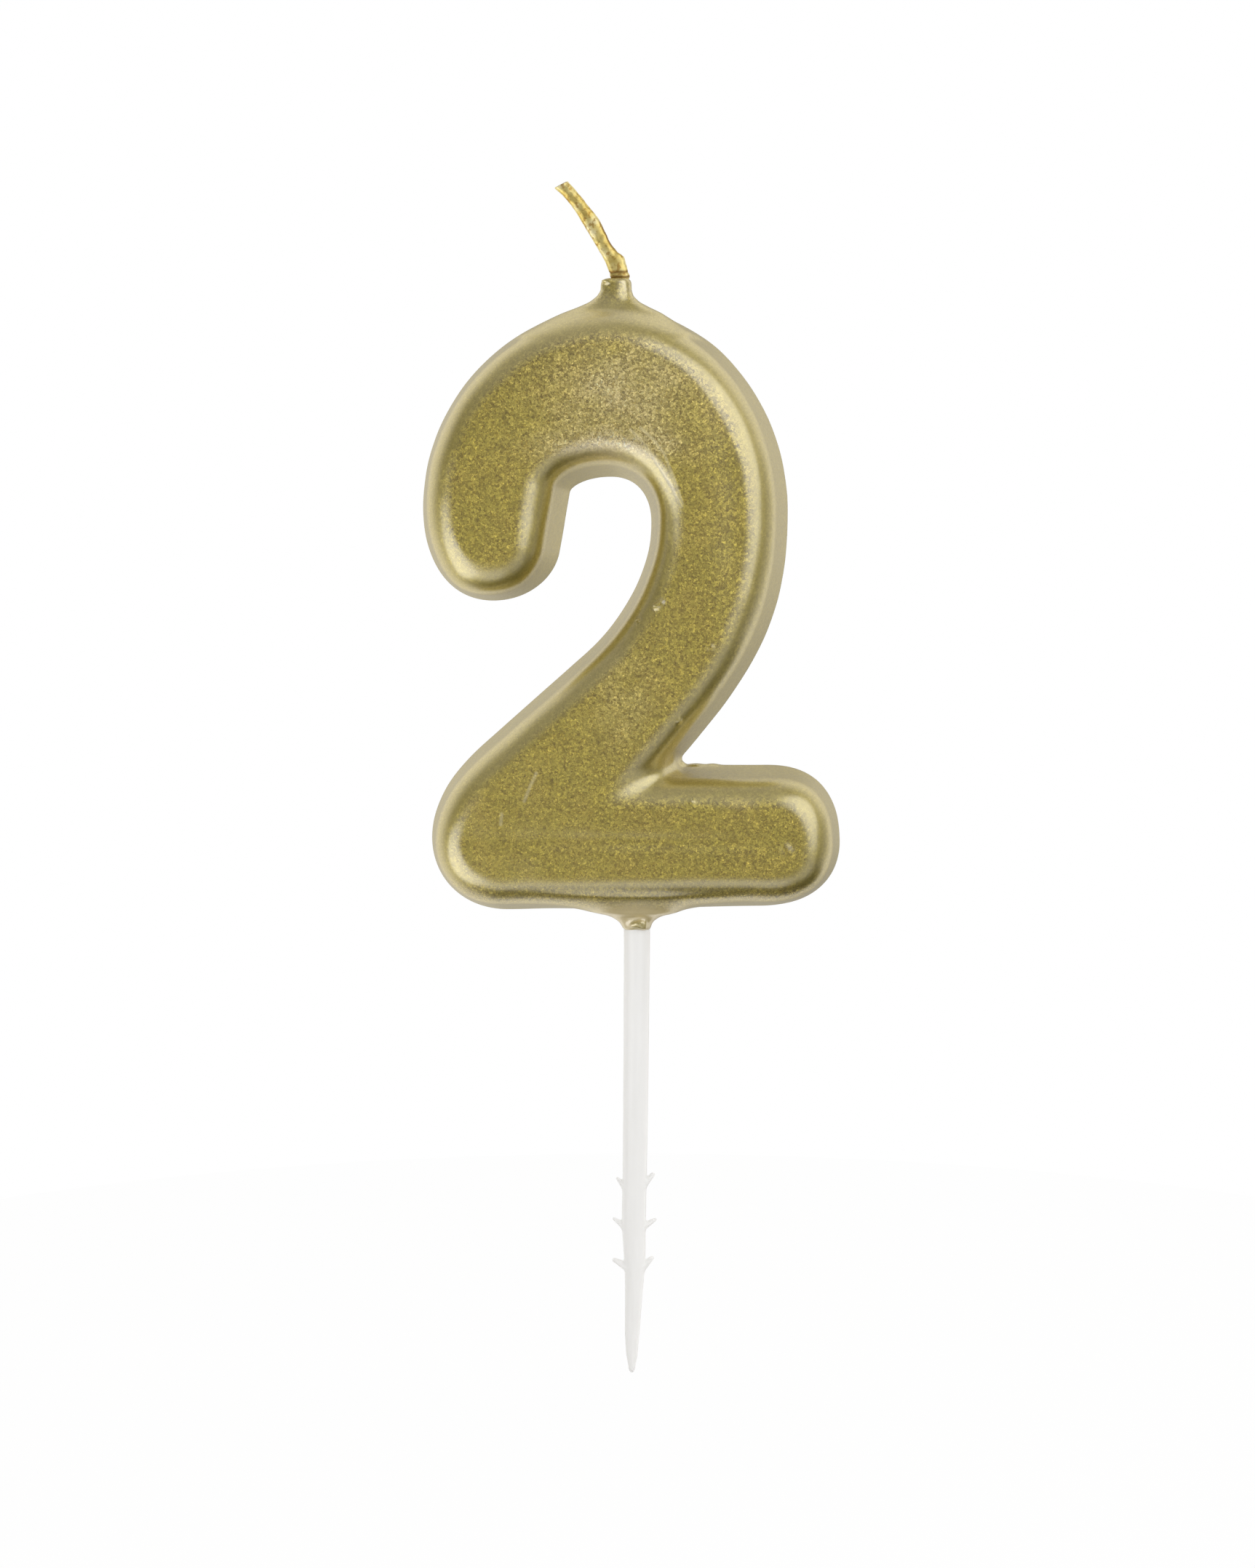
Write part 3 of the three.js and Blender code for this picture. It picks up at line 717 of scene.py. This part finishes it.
def gold_material():
    """Satin gold with fine flakes on the face and smoother shoulders, under a clear lacquer."""
    material = bpy.data.materials.new("gold_lacquer")
    tree, shader = nodes_of(material)
    place = add(tree, "ShaderNodeTexCoord").outputs["Object"]
    face = attribute(tree, "face")
    frost_and_highlight = attribute(tree, "frost_and_highlight")
    grain = attribute(tree, "grain")
    grain = maths(tree, "MULTIPLY_ADD", maths(tree, "MULTIPLY", frost_and_highlight, face), frost_grain, grain)

    # Flakes: each cell leans its own way and has its own brightness
    flakes = add(tree, "ShaderNodeTexVoronoi", {"Vector": place, "Scale": flake_density}).outputs["Color"]
    specks = add(tree, "ShaderNodeTexVoronoi", {"Vector": place, "Scale": speck_density}).outputs["Color"]
    lean = vector_maths(tree, "ADD", flakes, specks)
    lean = vector_maths(tree, "SUBTRACT", lean, (1.0, 1.0, 1.0))
    lean = vector_maths(tree, "SCALE", lean, scale=maths(tree, "MULTIPLY", grain, flake_lean))
    normal = add(tree, "ShaderNodeNewGeometry").outputs["Normal"]
    normal = vector_maths(tree, "NORMALIZE", vector_maths(tree, "ADD", normal, lean))
    scratch = closeness(tree, place, scratches, 0.3)
    scuff = closeness(tree, place, scuffs, 0.34)
    skin = noise(tree, place, 420.0, 4.0)
    skin = maths(tree, "MULTIPLY_ADD", skin, 0.7, maths(tree, "MULTIPLY", scratch, -1.0))
    normal = bumped(tree, skin, 0.00007, 1.0, normal)

    patches = noise(tree, place, 260.0, 4.0, 0.55)
    # The shoulders' gold is a little paler and less saturated than the face's: a painted highlight that
    # whitens the highlights the shoulders catch
    base = mix(tree, face, shoulder_highlight_gold, ramp(tree, patches, face_golds))
    # Frosted places: coarser real grain, and a paler gold that partly paints the highlight the face catches
    # there
    base = mix(tree, frost_and_highlight, base, frost_highlight_gold)
    flake = add(tree, "ShaderNodeSeparateColor", {"Color": flakes}).outputs["Red"]
    speck = add(tree, "ShaderNodeSeparateColor", {"Color": specks}).outputs["Green"]
    sparkled = mix(tree, 1.0, base, ramp(tree, flake, flake_shades), "MULTIPLY")
    sparkled = mix(tree, 1.0, sparkled, ramp(tree, speck, speck_shades), "MULTIPLY")
    base = mix(tree, grain, base, sparkled)
    # Scratches and scuffs are paler: partly worn lacquer, partly a painted glint where the groove sides
    # catch light
    scraped_and_glint = maths(tree, "MULTIPLY", maths(tree, "MAXIMUM", scuff, scratch), 0.5)
    base = mix(tree, scraped_and_glint, base, scraped_glint_gold)

    # The thin film at the neck is pale, and hardly metallic
    film = attribute(tree, "film")
    base = mix(tree, film, base, film_gold)
    rough = maths(tree, "MULTIPLY_ADD", face, 0.05, 0.48)
    rough = maths(tree, "MULTIPLY_ADD", maths(tree, "SUBTRACT", patches, 0.5), 0.1, rough)
    tree.links.new(maths(tree, "SUBTRACT", 1.0, film), shader.inputs["Metallic"])
    tree.links.new(base, shader.inputs["Base Color"])
    tree.links.new(normal, shader.inputs["Normal"])
    tree.links.new(rough, shader.inputs["Roughness"])
    shader.inputs["Specular Tint"].default_value = (1.0, 0.95, 0.87, 1.0)
    shader.inputs["Coat Weight"].default_value = 1.0
    shader.inputs["Coat IOR"].default_value = 2.55
    shader.inputs["Coat Roughness"].default_value = 0.27
    return material


# Wick: pairs of edge points seen from the front, from the nipple's mouth
wick_mouth = np.array([nipple_axis, nipple_top])
wick_edges = [
    ((-0.85, -1.2), (1.15, -1.2)),
    ((-0.78, 0.0), (1.32, 0.0)),
    ((-1.08, 0.95), (1.12, 1.1)),
    ((-1.46, 1.9), (0.66, 2.5)),
    ((-1.8, 2.55), (-0.18, 3.2)),
    ((-2.5, 3.75), (-1.0, 4.4)),
    ((-3.85, 6.0), (-2.12, 6.7)),
    ((-5.04, 7.9), (-3.45, 8.4)),
    ((-6.05, 9.2), (-4.5, 9.7)),
    ((-7.25, 10.35), (-5.75, 11.1)),
]
wick_half_depth = (wick_high[1] - wick_low[1]) / 2
wick_points_around = 48
wick_rows = 200
hidden_rows = 60

# Braid: strands across each face, pitch and slant along it, and how far strands and waves stand out
braid_strands = 4
braid_pitch = 0.95
braid_slant = 0.8
braid_height = 0.018
wick_waviness = 0.03
wick_squareness = 0.75

# Bead of lacquer round the wick: distance from its mouth, reach, and the two necks beside it
bead_place = 1.55
bead_reach = 0.22
bead_height = 0.06
bead_necks = (1.2, 1.95)
bead_neck_reach = 0.1
bead_neck_share = 0.8

# Brown stains: two rings at the mouth, and the right edge halfway up
stain_rings = (74.85, 75.4)
stain_ring_reach = 0.17
stain_edge_height = 79.4
stain_edge_reach = 1.9


def catmull_rom(stops, share):
    """Points of a smooth curve through its stops, at shares from 0 to 1."""
    stops = np.asarray(stops, float)
    padded = np.vstack([2 * stops[0] - stops[1], stops, 2 * stops[-1] - stops[-2]])
    place = np.clip(np.asarray(share), 0, 1) * (len(stops) - 1)
    left = np.minimum(place.astype(int), len(stops) - 2)
    t = (place - left)[:, None]
    a, b, c, d = (padded[left + shift] for shift in range(4))
    return 0.5 * (2 * b + (c - a) * t + (2 * a - 5 * b + 4 * c - d) * t**2 + (3 * b - a - 3 * c + d) * t**3)


def hidden_wick_route():
    """The wick's run inside the wax, from its buried end to the nipple's mouth."""
    heel = np.array([heel_round - foot_reach_left, neck_length + heel_height])
    junction = spot(junction_reach, foot_height)
    bay_right_reach = bowl_reach_right - right_stroke
    bay_bottom_corner = spot(bay_right_reach, foot_height + bay_corner_rise)
    heel_top_corner = spot(-foot_reach_left, heel_corner)
    diagonal_top = towards(bay_bottom_corner, heel_top_corner, bay_bend)
    waist = (junction + diagonal_top) / 2
    bowl_right = spot(bowl_reach_right, crown_height - bowl_right_drop)
    bay_right = spot(bay_right_reach, crown_height - crown_stroke - bay_right_drop)
    crown_middle = np.array([nipple_axis, crown_top - crown_stroke / 2])
    below_mouth = wick_mouth + np.array([0.15, -3.0])
    return [heel, waist, (bowl_right + bay_right) / 2, crown_middle, below_mouth]


def braided_wick(material):
    """A flat lacquered braid between its two edges, with its buried run below."""
    around = wick_points_around
    rows = wick_rows
    angle = np.linspace(0, 2 * math.pi, around, endpoint=False)
    share = np.linspace(0, 1, rows)
    left = wick_mouth + catmull_rom([pair[0] for pair in wick_edges], share)
    right = wick_mouth + catmull_rom([pair[1] for pair in wick_edges], share)
    middle = (left + right) / 2
    half = (right - left) / 2
    along = np.concatenate([[0], np.cumsum(np.linalg.norm(np.diff(middle, axis=0), axis=1))])

    # Superellipse section with a braid's slanting strands pressed flat under lacquer
    across = np.sign(np.cos(angle)) * np.abs(np.cos(angle))**wick_squareness
    deep = np.sign(np.sin(angle)) * np.abs(np.sin(angle))**wick_squareness
    column = 0.5 * (across + 1) * braid_strands
    strand = np.abs(np.sin(math.pi * column))[None, :]
    slant = np.where(np.floor(column) % 2 == 0, 1, -1) * (column % 1)
    plait = np.abs(np.cos(math.pi * (along[:, None] / braid_pitch + braid_slant * slant[None, :])))
    relief = braid_height * (strand**0.6 * plait**0.5 - 0.5)
    bumps = np.array([middle[:, 0][:, None] + half[:, 0][:, None] * across,
                      wick_half_depth * deep[None, :] + 0 * middle[:, :1],
                      middle[:, 1][:, None] + half[:, 1][:, None] * across])
    relief = relief + wick_waviness * waves(bumps, seed=11, shortest=0.6, longest=1.6)

    # Bead of lacquer round the wick, just above the nipple
    bead = np.exp(-((along - bead_place) / bead_reach)**2)
    for neck in bead_necks:
        bead = bead - bead_neck_share * np.exp(-((along - neck) / bead_neck_reach)**2)
    swell = 1 + (relief + bead_height * bead[:, None]) / np.linalg.norm(half, axis=1)[:, None]
    rings = np.empty((rows, around, 3))
    rings[:, :, 0] = middle[:, :1] + half[:, :1] * across * swell
    rings[:, :, 1] = wick_half_depth * deep * (1 + 1.3 * (swell - 1))
    rings[:, :, 2] = middle[:, 1:] + half[:, 1:] * across * swell

    start = wick_mouth + (np.array(wick_edges[0][0]) + wick_edges[0][1]) / 2
    route = catmull_rom(hidden_wick_route() + [start], np.linspace(0, 1, hidden_rows, endpoint=False))
    way = np.gradient(route, axis=0)
    way /= np.linalg.norm(way, axis=1)[:, None]
    side = np.stack([way[:, 1], -way[:, 0]], 1)
    width = np.linalg.norm(half[0])
    hidden = np.empty((hidden_rows, around, 3))
    hidden[:, :, 0] = route[:, :1] + side[:, :1] * across * width
    hidden[:, :, 1] = wick_half_depth * deep
    hidden[:, :, 2] = route[:, 1:] + side[:, 1:] * across * width
    rings = np.concatenate([hidden, rings])

    height = rings[:, :, 2].ravel()
    right_side = np.tile(np.clip((across - 0.7) / 0.2, 0, 1), len(rings))
    stain = right_side * np.exp(-((height - stain_edge_height) / stain_edge_reach)**4)
    for ring_height in stain_rings:
        away = (height - ring_height - 0.1 * right_side) / stain_ring_reach
        stain = np.maximum(stain, np.exp(-away**2))
    return loft("gold_wick", rings, material, {"stain": stain})


def loft(name, rings, material, attributes):
    """A closed tube through rings, with a strip of quads across each end."""
    count, around = rings.shape[:2]
    points = rings.reshape(-1, 3)
    here = np.arange((count - 1) * around).reshape(count - 1, around)
    beside = np.roll(here, -1, axis=1)
    quads = np.stack([here, beside, beside + around, here + around], 2).reshape(-1, 4)
    ends = []
    for row, flip in ((0, True), (count - 1, False)):
        ring = row * around + np.arange(around)
        half_count = around // 2
        for step in range(half_count - 1):
            quad = [ring[step], ring[step + 1], ring[around - 2 - step], ring[around - 1 - step]]
            ends.append(quad[::-1] if flip else quad)
    faces = np.concatenate([quads, np.array(ends)])
    return make_mesh(name, points, faces, material, attributes)


braid_golds = [
    (0.3, (0.54, 0.37, 0.08)),
    (0.44, (0.72, 0.56, 0.17)),
    (0.58, (0.8, 0.67, 0.27)),
    (0.75, (0.92, 0.84, 0.54)),
]
brown_fleck = (0.4, 0.22, 0.035)
stained_braid = (0.2, 0.09, 0.015)


def wick_material():
    """Brassy lacquered cotton with brown flecks and stains."""
    material = bpy.data.materials.new("gold_braid")
    tree, shader = nodes_of(material)
    place = add(tree, "ShaderNodeTexCoord").outputs["Object"]
    patches = noise(tree, place, 520.0, 4.0, 0.5)
    base = ramp(tree, patches, braid_golds)
    speckle = noise(tree, place, 1700.0, 2.0)
    flecks = ramp(tree, speckle, [(0.38, (1.0, 1.0, 1.0)), (0.46, (0.0, 0.0, 0.0))])
    base = mix(tree, maths(tree, "MULTIPLY", flecks, 0.7), base, brown_fleck)
    stain = attribute(tree, "stain")
    base = mix(tree, maths(tree, "MULTIPLY", stain, 0.85), base, stained_braid)
    tree.links.new(base, shader.inputs["Base Color"])
    tree.links.new(bumped(tree, noise(tree, place, 2600.0, 3.0), 0.00004, 0.5), shader.inputs["Normal"])
    tree.links.new(maths(tree, "MULTIPLY_ADD", patches, 0.3, 0.25), shader.inputs["Roughness"])
    shader.inputs["Metallic"].default_value = 0.8
    return material


# Pick: width stations down the shaft, as height, left edge and right edge
shaft_edges = [
    (pick_high[2], -1.13, 1.37),
    (0.0, -1.52, 1.52),
    (-2.1, -1.5, 1.5),
    (-24.3, -1.63, 1.24),
    (-30.0, -1.68, 1.13),
    (-35.0, -1.78, 1.02),
    (-38.6, -1.52, 0.98),
    (-40.6, -1.41, 0.88),
    (-43.0, -1.4, 0.66),
    (-47.9, -1.4, 0.28),
    (-50.4, -1.25, 0.08),
    (-51.6, -1.02, -0.16),
]
tip_depth = pick_low[2]

# Barbs: root height, tip's X and Z, and radius at the tip
barbs = [
    (-30.45, 1.86, -28.98, 0.25),
    (-30.75, -2.3, -29.5, 0.17),
    (-35.3, 2.12, -34.3, 0.2),
    (-35.3, -2.68, -34.28, 0.17),
    (-40.0, 1.75, -38.85, 0.24),
    (-39.95, -2.65, -39.15, 0.25),
]
barb_root_inset = 0.85
barb_root_radius = 0.5
barb_flatness = 0.62
barb_fillet = 0.22
pick_spacing = 0.13
pick_waviness = 0.012


def pick_field(x, y, z):
    """The moulded pick: a round shaft that tapers to a blunt point, and six barbs."""
    height, lefts, rights = np.array(shaft_edges[::-1]).T
    middles = (lefts + rights) / 2
    left = np.interp(z, height, lefts)
    right = np.interp(z, height, rights)
    middle = (left + right) / 2
    radius = (right - left) / 2
    shaft = np.sqrt((x - middle)**2 + y**2) - radius
    body = np.maximum(shaft, z - pick_high[2])
    end_height, end_left, end_right = shaft_edges[-1]
    nose = ellipsoid(x, y, z, ((end_left + end_right) / 2, 0, end_height),
                     ((end_right - end_left) / 2, (end_right - end_left) / 2, end_height - tip_depth))
    body = np.where(z < end_height, nose, body)
    for root, tip_x, tip_z, tip_radius in barbs:
        axis = np.interp(root, height, middles)
        start = np.array([axis + math.copysign(barb_root_inset, tip_x), root])
        end = np.array([tip_x, tip_z])
        way = end - start
        share = np.clip(((x - start[0]) * way[0] + (z - start[1]) * way[1]) / (way @ way), 0, 1)
        off_x = x - start[0] - share * way[0]
        off_z = z - start[1] - share * way[1]
        thick = barb_root_radius + (tip_radius - barb_root_radius) * share
        barb = np.sqrt(off_x**2 + off_z**2 + (barb_flatness * y)**2) - thick
        body = smooth_min(body, barb, barb_fillet)
    return body


def barbed_pick(material):
    """The pick as one closed mesh, with its head inside the wax."""
    step = pick_spacing
    low = pick_low - 3 * step
    high = pick_high + 3 * step
    axes = [np.arange(low[axis], high[axis], step) for axis in range(3)]
    x, y, z = np.meshgrid(*axes, indexing="ij", sparse=True)
    field = pick_field(x, y, z) + pick_waviness * waves((x, y, z), seed=23, shortest=3.0, longest=9.0)
    points, faces = surface_net(field.astype(np.float32), low, step)
    points = relax(points, faces)
    return make_mesh("barbed_pick", points, faces, material)


def plastic_material():
    """White moulded plastic, a little translucent, with faint flow marks."""
    material = bpy.data.materials.new("white_plastic")
    tree, shader = nodes_of(material)
    place = add(tree, "ShaderNodeTexCoord").outputs["Object"]
    stretched = add(tree, "ShaderNodeMapping", {"Vector": place, "Scale": (1.0, 1.0, 0.12)}).outputs[0]
    flow = noise(tree, stretched, 900.0, 3.0)
    base = ramp(tree, flow, [(0.3, (0.9, 0.9, 0.895)), (0.7, (0.94, 0.94, 0.94))])
    tree.links.new(base, shader.inputs["Base Color"])
    tree.links.new(bumped(tree, noise(tree, place, 1600.0, 2.0), 0.00003, 0.4), shader.inputs["Normal"])
    tree.links.new(maths(tree, "MULTIPLY_ADD", flow, 0.2, 0.25), shader.inputs["Roughness"])
    shader.inputs["Subsurface Weight"].default_value = 0.3
    shader.inputs["Subsurface Radius"].default_value = (1.0, 1.0, 1.0)
    shader.inputs["Subsurface Scale"].default_value = 0.0008
    return material


def wax_material():
    """Plain pale paraffin under the coat."""
    material = bpy.data.materials.new("paraffin_wax")
    tree, shader = nodes_of(material)
    place = add(tree, "ShaderNodeTexCoord").outputs["Object"]
    cloud = noise(tree, place, 300.0, 4.0)
    base = ramp(tree, cloud, [(0.3, (0.74, 0.69, 0.57)), (0.7, (0.85, 0.81, 0.72))])
    tree.links.new(base, shader.inputs["Base Color"])
    tree.links.new(bumped(tree, cloud, 0.0002, 0.3), shader.inputs["Normal"])
    shader.inputs["Roughness"].default_value = 0.5
    shader.inputs["Subsurface Weight"].default_value = 0.4
    shader.inputs["Subsurface Scale"].default_value = 0.002
    return material


def place_camera():
    """The camera, with the photograph's viewing angle and frame."""
    forward = np.array([
        -math.sin(azimuth) * math.cos(elevation),
        math.cos(azimuth) * math.cos(elevation),
        -math.sin(elevation),
    ])
    data = bpy.data.cameras.new("camera")
    camera = bpy.data.objects.new("camera", data)
    bpy.context.scene.collection.objects.link(camera)
    camera.location = Vector((target - forward * camera_distance) * MM)
    camera.rotation_euler = Vector(forward).to_track_quat("-Z", "Y").to_euler()
    data.sensor_fit = "VERTICAL"
    data.sensor_height = sensor_height
    data.lens = sensor_height * camera_distance / (photo_size[1] * mm_per_pixel)
    data.clip_start = 0.01
    bpy.context.scene.camera = camera


def around_view(away, turn):
    """A direction by its degrees away from the viewer's side and its turn round the view, from the right."""
    away = math.radians(away)
    turn = math.radians(turn)
    return (math.sin(away) * math.cos(turn), -math.cos(away), math.sin(away) * math.sin(turn))


# Studio: the level in front and what the backdrop adds behind, with the angles where that fades.
# Then the places that are dimmer or brighter: a direction, the degrees at full strength and at the edge,
# and the share taken away or the level added.
front_level = 0.13
backdrop_level = 1.02
backdrop_inner = 70
backdrop_outer = 118
dimmer_places = [
    (around_view(82, 284), 16, 34, 0.85),
    (around_view(88, 264), 6, 20, 0.5),
    (around_view(90, 312), 12, 28, 0.95),
    (around_view(95, 0), 8, 28, 0.4),
    ((0.0, 1.0, 0.0), 12, 48, 0.55),
    (around_view(145, 98), 10, 32, 0.24),
    (around_view(145, 300), 10, 32, 0.34),
]
brighter_places = [
    (around_view(46, 268), 6, 20, 1.0),
    (around_view(45, 318), 8, 24, 0.5),
    (around_view(54, 112), 10, 38, 0.33),
]
diffuse_level = 0.16
lamp_aim = Vector((0.0, 0.0, 35.0))


def softbox(name, direction, half_angle, distance, radiance):
    """A round lamp that faces the candle, seen from it under a half angle, with an even radiance."""
    way = Vector(direction).normalized()
    radius = distance * math.tan(math.radians(half_angle)) * MM
    data = bpy.data.lights.new(name, "AREA")
    data.shape = "DISK"
    data.size = 2 * radius
    data.energy = radiance * math.pi * math.pi * radius**2
    lamp = bpy.data.objects.new(name, data)
    bpy.context.scene.collection.objects.link(lamp)
    lamp.location = lamp_aim * MM + way * distance * MM
    lamp.rotation_euler = (-way).to_track_quat("-Z", "Y").to_euler()


def light_studio():
    """Two softboxes in a studio that the gold reflects, which is plain white to the camera."""
    scene = bpy.context.scene
    scene.view_settings.view_transform = "Standard"
    world = bpy.data.worlds.new("studio")
    scene.world = world
    world.use_nodes = True
    tree = world.node_tree
    tree.nodes.clear()
    way = add(tree, "ShaderNodeTexCoord").outputs["Generated"]

    def lobe(direction, inner, outer):
        """1 within the inner degrees of a direction, fading to 0 at the outer ones."""
        facing = add(tree, "ShaderNodeVectorMath", {0: way, 1: direction}, operation="DOT_PRODUCT")
        edge = math.cos(math.radians(outer))
        full = math.cos(math.radians(inner))
        stops = {"Value": facing.outputs["Value"], "From Min": edge, "From Max": full}
        return add(tree, "ShaderNodeMapRange", stops, interpolation_type="SMOOTHSTEP").outputs["Result"]

    backdrop = lobe((0.0, 1.0, 0.0), backdrop_inner, backdrop_outer)
    level = maths(tree, "MULTIPLY_ADD", backdrop, backdrop_level, front_level)
    for direction, inner, outer, amount in dimmer_places:
        kept = maths(tree, "MULTIPLY_ADD", lobe(direction, inner, outer), -amount, 1.0)
        level = maths(tree, "MULTIPLY", level, kept)
    for direction, inner, outer, amount in brighter_places:
        level = maths(tree, "MULTIPLY_ADD", lobe(direction, inner, outer), amount, level)
    path = add(tree, "ShaderNodeLightPath").outputs
    level = maths(tree, "MULTIPLY_ADD", path["Is Diffuse Ray"], diffuse_level, level)
    studio = add(tree, "ShaderNodeBackground", {"Color": (1.0, 0.98, 0.94, 1.0), "Strength": level})
    white = add(tree, "ShaderNodeBackground", {"Color": (1.0, 1.0, 1.0, 1.0)})
    clear = maths(tree, "MAXIMUM", path["Is Camera Ray"], path["Is Transmission Ray"])
    both = add(tree, "ShaderNodeMixShader", {0: clear, 1: studio.outputs[0], 2: white.outputs[0]})
    output = add(tree, "ShaderNodeOutputWorld")
    tree.links.new(both.outputs[0], output.inputs[0])
    softbox("left_softbox", around_view(50, 212), half_angle=26, distance=400, radiance=1.97)
    softbox("right_softbox", around_view(42, 32), half_angle=30, distance=420, radiance=1.62)


floor_radius = 140.0
floor_sides = 96
floor_shading = 0.035


def white_floor():
    """A small pale floor under the pick: white to the camera, with a faint shadow of the candle."""
    angle = np.linspace(0, 2 * math.pi, floor_sides, endpoint=False)
    height = np.full(floor_sides, pick_low[2])
    points = np.stack([floor_radius * np.cos(angle), floor_radius * np.sin(angle), height], 1)
    mesh = bpy.data.meshes.new("floor")
    mesh.from_pydata([tuple(point) for point in points * MM], [], [list(range(floor_sides))])
    floor = bpy.data.objects.new("floor", mesh)
    bpy.context.scene.collection.objects.link(floor)
    material = bpy.data.materials.new("floor")
    tree, shader = nodes_of(material)
    place = add(tree, "ShaderNodeTexCoord").outputs["Object"]
    base = ramp(tree, noise(tree, place, 40.0), [(0.3, (0.8, 0.8, 0.8)), (0.7, (0.82, 0.82, 0.82))])
    tree.links.new(base, shader.inputs["Base Color"])
    shader.inputs["Roughness"].default_value = 0.9
    shader.inputs["Specular IOR Level"].default_value = 0.0

    def mixed(share, first, second):
        inputs = {0: share, 1: first.outputs[0], 2: second.outputs[0]}
        return add(tree, "ShaderNodeMixShader", inputs)

    clear = add(tree, "ShaderNodeBsdfTransparent")
    white = add(tree, "ShaderNodeEmission", {"Color": (1.0, 1.0, 1.0, 1.0), "Strength": 1.0})
    path = add(tree, "ShaderNodeLightPath").outputs
    seen = mixed(floor_shading, white, shader)
    final = mixed(path["Is Camera Ray"], mixed(path["Is Glossy Ray"], shader, clear), seen)
    tree.links.new(final.outputs[0], tree.nodes["Material Output"].inputs[0])
    mesh.materials.append(material)


place_camera()
light_studio()
white_floor()

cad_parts["wax_core"].data.materials.clear()
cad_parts["wax_core"].data.materials.append(wax_material())

numeral = gold_numeral(gold_material())
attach(numeral, "root")
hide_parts("gold_coat")

wick = braided_wick(wick_material())
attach(wick, "root")
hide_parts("wick")

pick = barbed_pick(plastic_material())
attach(pick, "root")
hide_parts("pick")
